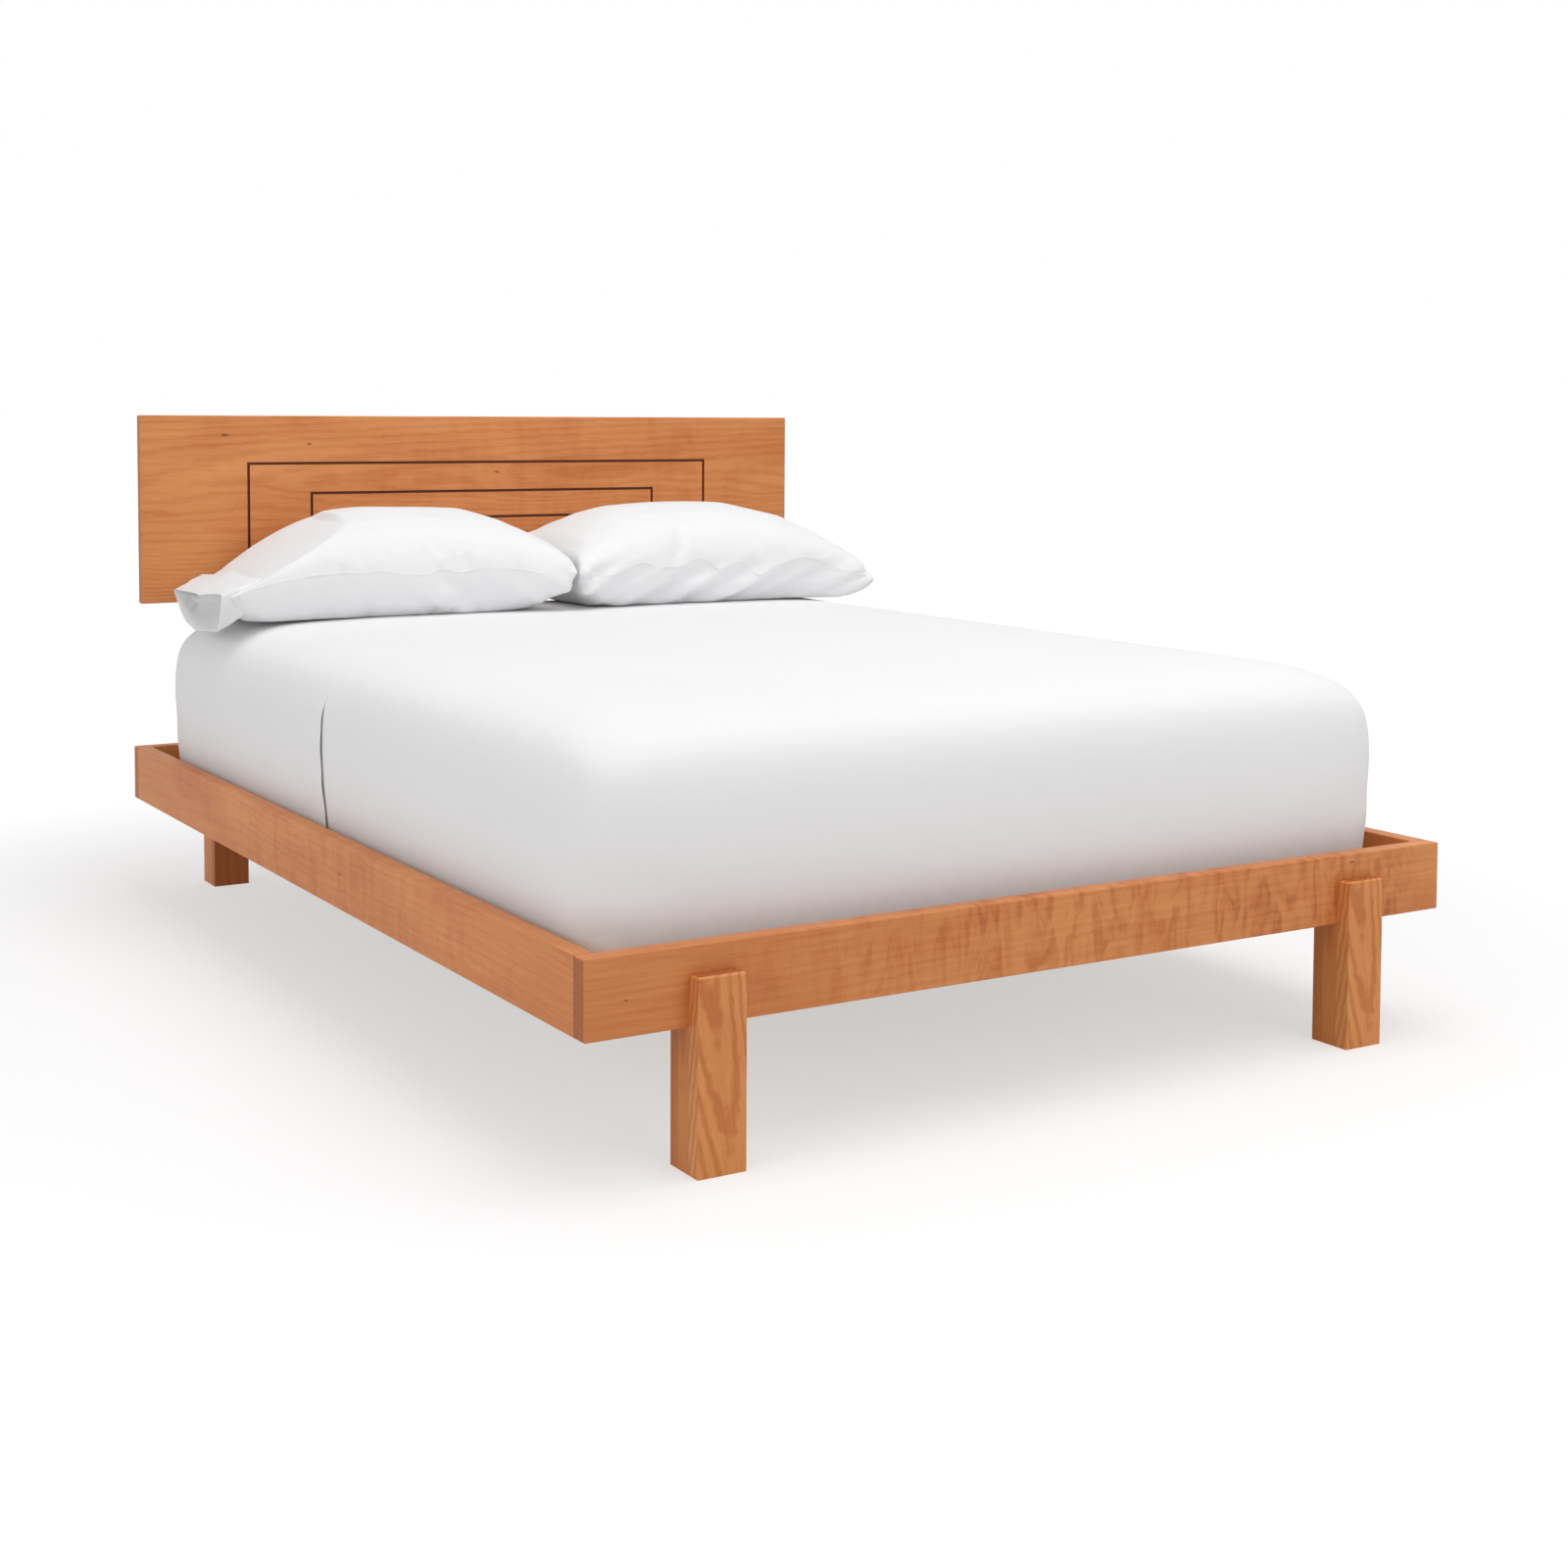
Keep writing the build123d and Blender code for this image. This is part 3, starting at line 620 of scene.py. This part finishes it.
def let_crease(obj, pressure, extra, cap, frames=20, stiff=10.0):
    """Cloth with pressure inside and extra cloth to crease with; no point moves over cap."""
    rest = [v.co.copy() for v in obj.data.vertices]
    cloth = obj.modifiers.new("cloth", "CLOTH")
    cloth.settings.quality = 5
    cloth.settings.mass = 0.3
    cloth.settings.use_pressure = True
    cloth.settings.uniform_pressure_force = pressure
    cloth.settings.shrink_min = -extra
    cloth.settings.tension_stiffness = stiff
    cloth.settings.compression_stiffness = stiff
    cloth.settings.shear_stiffness = 5.0
    cloth.settings.bending_stiffness = 0.15
    cloth.settings.air_damping = 3.0
    cloth.settings.effector_weights.gravity = 0.0
    cloth.collision_settings.use_collision = False
    cloth.point_cache.frame_end = frames
    for step in range(1, frames + 1):
        scene.frame_set(step)
    settle(obj)
    farthest = 0
    for v, before in zip(obj.data.vertices, rest):
        move = v.co - before
        farthest = max(farthest, move.length)
        if move.length > cap:
            v.co = before + move * (cap / move.length)
    scene.frame_set(1)
    print(obj.name, "moved at most", round(farthest, 4), "m before the cap of", cap)


def reshape(obj, change):
    """Moves each point along its normal by what change(place, normal) says, in metres."""
    moves = [(v, change(v.co, v.normal) * v.normal) for v in obj.data.vertices]
    for v, move in moves:
        v.co = v.co + move


def dress(obj, material, body, levels=1):
    """Finishes a soft piece: its map, material, smooth shading, body and subdivision."""
    obj.data.materials.clear()
    obj.data.materials.append(material)
    for face in obj.data.polygons:
        face.use_smooth = True
    cloth_map(obj)
    if levels:
        finer = obj.modifiers.new("finer", "SUBSURF")
        finer.levels = levels
        finer.render_levels = levels
        settle(obj)
    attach(obj, body)


def thicken(obj, thickness, offset):
    """Gives a skin the thickness of cloth, inwards for an offset of -1."""
    thick = obj.modifiers.new("thickness", "SOLIDIFY")
    thick.thickness = thickness
    thick.offset = offset


def bell(value, middle, width):
    return exp(-(((value - middle) / width) ** 2))


def fade(value, start, end):
    t = min(1, max(0, (value - start) / (end - start)))
    return t * t * (3 - 2 * t)


print("cloth helpers ready")

# %% [markdown]
# ## Mattress
# The mattress itself shows only from beneath, where the sheet leaves its quilted cover bare.
# It is the model's form, kept just inside the sheet.

# %% Mattress
mattress = soft_copy("mattress", "mattress_core", 0.022, 4)
reshape(mattress, lambda place, facing: -0.0012 if facing.z > -0.7 else 0.0)
mattress_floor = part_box("mattress")[0].z
for v in mattress.data.vertices:
    if v.co.z < mattress_floor + 0.0105:
        v.co.z = mattress_floor + 0.0003
dress(mattress, ticking, "mattress")
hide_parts("mattress")
print("mattress faces:", len(mattress.data.polygons))

# %% [markdown]
# ## Fitted sheet
# The sheet is stretched over the mattress, so it has nearly no folds: only long shallow pulls
# towards the corners and a soft ripple above the hem. Its sides hang nearly straight to the hem,
# drawn in a little. It is cut open underneath and given the thickness of cloth.

# %% Fitted sheet
sheet = soft_copy("mattress", "fitted_sheet_cloth", 0.02, 5)
reshape(sheet, lambda place, facing: 0.0012)
hem_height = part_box("fitted_sheet")[0].z
core_x, core_foot, core_head = 0.662, -0.921, 0.905
straight_below, side_reach, hem_in = 0.4, 0.1015, 0.012


def pulls(place, facing):
    """Shallow pulls on the sheet's sides, strongest near the corners."""
    side = 1 - abs(facing.z)
    near_side = max(bell(abs(place.x), 0.76, 0.25), 0.2)
    corner = near_side * max(bell(abs(place.y + 0.008), 1.01, 0.4), 0.25)
    wave = noise.noise(Vector((place.x * 7, place.y * 7, place.z * 1.6)) + Vector((3, 1, 7)))
    broad = noise.noise(Vector((place.x * 1.7, place.y * 1.7, place.z * 1.5)))
    ripple = bell(place.z, hem_height, 0.05) * noise.noise(Vector((place.x * 24, place.y * 24, 2)))
    return 0.0022 * wave * side * corner + 0.0016 * broad + 0.0015 * ripple * side


reshape(sheet, pulls)
for v in sheet.data.vertices:
    core = Vector((min(max(v.co.x, -core_x), core_x), min(max(v.co.y, core_foot), core_head)))
    out = Vector((v.co.x, v.co.y)) - core
    if v.co.z < straight_below and out.length > 0.05:
        drawn_in = hem_in * ((0.452 - v.co.z) / 0.152) ** 1.5
        target = core + out.normalized() * (side_reach - drawn_in)
        share = fade(straight_below - v.co.z, 0, 0.05)
        v.co.x += (target.x - v.co.x) * share
        v.co.y += (target.y - v.co.y) * share
bm = bmesh.new()
bm.from_mesh(sheet.data)
bmesh.ops.bisect_plane(bm, geom=bm.verts[:] + bm.edges[:] + bm.faces[:],
                       plane_co=(0, 0, hem_height), plane_no=(0, 0, -1), clear_outer=True)
bm.to_mesh(sheet.data)
bm.free()
thicken(sheet, 0.0011, -1)
dress(sheet, sheet_cotton, "mattress")
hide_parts("fitted_sheet")
print("sheet faces:", len(sheet.data.polygons))

# %% [markdown]
# ## The lapped edge of the sheet
# On the left side one layer of the sheet laps over the next, and the lap's edge throws a thin
# upright shadow. It is a strip that follows the sheet: lifted along its edge, and sinking into
# the sheet as it runs towards the head, so only that edge is seen.

# %% Sheet lap
skin = BVHTree.FromPolygons([v.co for v in sheet.data.vertices],
                            [f.vertices for f in sheet.data.polygons])
lap_bottom, lap_top = Vector((0.018, 0.298)), Vector((0.016, 0.536))
lap_run, lap_lift = 0.14, 0.0042
lap = bmesh.new()
bmesh.ops.create_grid(lap, x_segments=14, y_segments=60, size=1)
for v in lap.verts:
    run, rise = (v.co.x + 1) / 2, (v.co.y + 1) / 2
    edge = lap_bottom.lerp(lap_top, rise)
    place = Vector((-1.0, edge.x + lap_run * run**1.5, edge.y))
    hit = skin.ray_cast(place, Vector((1, 0, 0)))[0]
    raised = (lap_lift * (1 - run) ** 2 + 0.0006 * sin(rise * 21 + 1)) * fade(1 - rise, 0, 0.2)
    lift = raised - 0.0012 * fade(run, 0.3, 1)
    v.co = Vector((hit.x - lift, place.y, place.z))
bmesh.ops.recalc_face_normals(lap, faces=lap.faces)
sheet_lap = from_bmesh("sheet_side_lap", lap)
thicken(sheet_lap, 0.0006, 0)
dress(sheet_lap, sheet_cotton, "mattress")
print("lap from", tuple(lap_bottom), "to", tuple(lap_top))

# %% [markdown]
# ## Pillows
# Two long pillows lie flat side by side. A seam runs round the widest part of each, and below
# it the cloth has slanting folds. The top falls away from a crown, and on the left pillow it
# runs down in a straight slope to the open end of the case.

# %% Pillows
crown_drop, half_length = 0.03, 0.372
slope_x, slope_z, sleeve_x = -0.48, 0.812, -0.757  # where the left pillow runs down to its case


def seam_round(pillow, side):
    """A thin corded seam along the widest line round a pillow."""
    name, places = f"pillow_{side}_seam", 260
    low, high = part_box(f"pillow_{side}")
    middle, half = (low + high) / 2, (high - low) / 2
    widest = {}
    for v in pillow.data.vertices:
        if not 0.045 < v.co.z - low.z < 0.105:
            continue
        across, along = (v.co.x - middle.x) / half.x, (v.co.y - middle.y) / half.y
        key = int(atan2(along, across) / (2 * pi) * places) % places
        reach = max(abs(across), abs(along))
        if key not in widest or reach > widest[key][0]:
            widest[key] = (reach, v.co.copy())
    line = [widest[key][1] for key in sorted(widest)]
    for _ in range(5):
        before, after = line[-1:] + line[:-1], line[1:] + line[:1]
        line = [(a + 2 * b + c) / 4 for a, b, c in zip(before, line, after)]
    curve = bpy.data.curves.new(name, "CURVE")
    curve.dimensions = "3D"
    curve.bevel_depth = 0.0013
    curve.bevel_resolution = 1
    spline = curve.splines.new("POLY")
    spline.points.add(len(line) - 1)
    for point, place in zip(spline.points, line):
        point.co = (*place, 1)
    spline.use_cyclic_u = True
    made = link_new(name, curve)
    seen = made.evaluated_get(bpy.context.evaluated_depsgraph_get())
    mesh = bpy.data.meshes.new_from_object(seen)
    bpy.data.objects.remove(made)
    dress(link_new(name, mesh), pillow_cotton, f"pillow_{side}", 0)


def make_pillow(side, folds, crown):
    """One pillow with its folds, its top highest at x = crown."""
    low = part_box(f"pillow_{side}")[0]
    pillow = soft_copy(f"pillow_{side}", f"pillow_{side}_filled", 0.0075, 3)
    let_crease(pillow, pressure=3.0, extra=0.035, cap=0.011)
    reshape(pillow, folds)
    for v in pillow.data.vertices:
        upper = fade(v.co.z - low.z, 0.09, 0.2)
        v.co.z -= crown_drop * ((v.co.x - crown) / half_length) ** 2 * upper
        if side == "left" and v.co.x < slope_x:
            far = max(v.co.y - 0.54, 0) * 0.107 * fade(-v.co.x, -slope_x, 0.728)
            slope = slope_z + (v.co.x - slope_x) * 0.5 - far
            v.co.z = min(v.co.z, slope + 0.002 * noise.noise(v.co * 14))
            v.co.x = max(v.co.x, sleeve_x + 0.04 * fade(v.co.y, 0.7, 0.99))
        v.co.z = max(v.co.z, low.z + 0.0006)
    dress(pillow, pillow_cotton, f"pillow_{side}")
    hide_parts(f"pillow_{side}")
    seam_round(pillow, side)
    print(f"pillow_{side} faces:", len(pillow.data.polygons))


def slanting(place, lean, pitch):
    """A fold pattern whose ridges lean to one side as they rise."""
    across = (place.x + lean * place.z) / pitch
    return noise.noise(Vector((across, place.y * 3, place.z * 2.5)) + Vector((5, 2, 9)))


def left_folds(place, facing):
    under = bell(place.z, 0.655, 0.035) * fade(-facing.y, 0.0, 0.5)
    pucker = bell(place.z, 0.705, 0.03) * noise.noise(Vector((place.x * 22, place.z * 8, 3)))
    dent = noise.noise(Vector((place.x * 9, place.y * 7, place.z * 8)))
    return (0.021 * slanting(place, 1.6, 0.05) * under * fade(place.x, -0.45, -0.2)
            + 0.004 * pucker + 0.004 * dent)


def right_folds(place, facing):
    under = bell(place.z, 0.66, 0.04) * fade(-facing.y, 0.0, 0.5)
    pucker = bell(place.z, 0.705, 0.03) * noise.noise(Vector((place.x * 20, place.z * 8, 6)))
    corner = bell(place.x, 0.0, 0.14) * noise.noise(Vector((place.x * 30, place.z * 6, 8)))
    dent = noise.noise(Vector((place.x * 8, place.y * 7, place.z * 8)))
    return (0.022 * slanting(place, -1.8, 0.055) * under
            + 0.004 * pucker + 0.006 * corner + 0.003 * dent)


make_pillow("left", left_folds, crown=-0.32)
make_pillow("right", right_folds, crown=0.36)

# %% [markdown]
# ## The open end of the left case
# The left case is longer than its pillow, and its mouth stands open at the mattress's edge. A
# tube of rings is laid between a section at the pillow and one at the mouth, each of four
# corners with bulged sides.

# %% Case mouth
mouth = [Vector(p) for p in ((-0.777, 0.540, 0.678), (-0.776, 0.575, 0.602),
                             (-0.775, 0.783, 0.605), (-0.742, 0.984, 0.656))]
root = [Vector(p) for p in ((-0.690, 0.560, 0.705), (-0.690, 0.575, 0.650),
                            (-0.690, 0.900, 0.645), (-0.690, 0.950, 0.690))]
shares = (0.0, 0.13, 0.36, 0.6, 1.0)


def round_section(corners, share, bulge):
    """The place at a share of the way round a section, its sides bulged a little."""
    index = max(i for i in range(4) if shares[i] <= share)
    part = (share - shares[index]) / (shares[index + 1] - shares[index])
    start, end = corners[index], corners[(index + 1) % 4]
    middle = sum(corners, Vector()) / 4
    place = start.lerp(end, part)
    return place + (place - middle).normalized() * bulge[index] * sin(pi * part)


case = bmesh.new()
bmesh.ops.create_cone(case, cap_ends=False, segments=96, radius1=1, radius2=1, depth=1)
uprights = [e for e in case.edges if abs(e.verts[0].co.z - e.verts[1].co.z) > 0.5]
bmesh.ops.subdivide_edges(case, edges=uprights, cuts=11)
for v in case.verts:
    share = (atan2(v.co.y, v.co.x) / (2 * pi)) % 1.0
    depth = v.co.z + 0.5
    at_mouth = round_section(mouth, share, (0.004, 0.010, 0.008, -0.006))
    at_root = round_section(root, share, (0.01, 0.012, 0.01, 0.012))
    wrinkle = noise.noise(Vector((share * 26, depth * 3, 4))) * 0.004 * sin(pi * depth)
    v.co = at_mouth.lerp(at_root, depth) + Vector((0, 0, wrinkle))
bmesh.ops.recalc_face_normals(case, faces=case.faces)
case_end = from_bmesh("pillowcase_open_end", case)
thicken(case_end, 0.0012, -1)
dress(case_end, pillow_cotton, "pillow_left")
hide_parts("pillowcase_left_end")
print("case faces:", len(case_end.data.polygons))

# %% [markdown]

# %% [markdown]
# ## Floor and light
# The bed stands on plain white with a soft shadow. A white sky lights it from all sides, and a
# broad lamp overhead makes the top of the bedding brighter than its sides. The floor glows a
# little for the camera only, which keeps it white without putting more light on the bed.

# %% Floor and light
bm = bmesh.new()
bmesh.ops.create_grid(bm, x_segments=1, y_segments=1, size=40)
floor = from_bmesh("floor", bm)


def seen_ray(tree):
    """1 for the rays that show the background: straight, mirrored or through glass."""
    path = add(tree, "ShaderNodeLightPath").outputs
    seen = math(tree, "MAXIMUM", path["Is Camera Ray"], path["Is Glossy Ray"])
    return math(tree, "MAXIMUM", seen, path["Is Transmission Ray"])


paper = bpy.data.materials.new("white_floor")
paper.use_nodes = True
tree = paper.node_tree
tree.nodes.clear()
seen = seen_ray(tree)
shade = mix(tree, seen, (0.8, 0.8, 0.8, 1), (0.46, 0.46, 0.46, 1))
matt = add(tree, "ShaderNodeBsdfDiffuse", {"Color": shade})
distance = vector_math(tree, "LENGTH", object_place(tree))[1]
far_glow = math(tree, "MULTIPLY_ADD", smooth_step(tree, distance, 1.3, 3.4), 0.3, 0.53)
strength = math(tree, "MULTIPLY", seen, far_glow)
glow = add(tree, "ShaderNodeEmission", {"Color": (1, 1, 1, 1), "Strength": strength})
both = add(tree, "ShaderNodeAddShader", {0: matt.outputs[0], 1: glow.outputs[0]})
add(tree, "ShaderNodeOutputMaterial", {0: both.outputs[0]})
floor.data.materials.append(paper)

world = bpy.data.worlds.new("white_sky")
world.use_nodes = True
scene.world = world
tree = world.node_tree
tree.nodes.clear()
seen = seen_ray(tree)
strength = math(tree, "MULTIPLY_ADD", seen, 0.52, 0.48)
sky = add(tree, "ShaderNodeBackground", {"Color": (1, 1, 1, 1), "Strength": strength})
add(tree, "ShaderNodeOutputWorld", {0: sky.outputs[0]})


def soft_lamp(name, place, aim, size, power):
    lamp = link_new(name, bpy.data.lights.new(name, "AREA"))
    lamp.data.shape = "RECTANGLE"
    lamp.data.size, lamp.data.size_y = size
    lamp.data.energy = power
    lamp.location = place
    lamp.rotation_euler = (Vector(aim) - Vector(place)).to_track_quat("-Z", "Y").to_euler()


soft_lamp("overhead", (0.5, -1.0, 4.8), (0, -0.4, 0.3), (3.5, 3.5), 118)
soft_lamp("front_fill", (0.6, -4.8, 2.0), (0, -0.6, 0.3), (3.0, 2.0), 30)
soft_lamp("left_fill", (-4.6, -0.6, 1.8), (-0.6, 0, 0.4), (4.0, 2.0), 40)
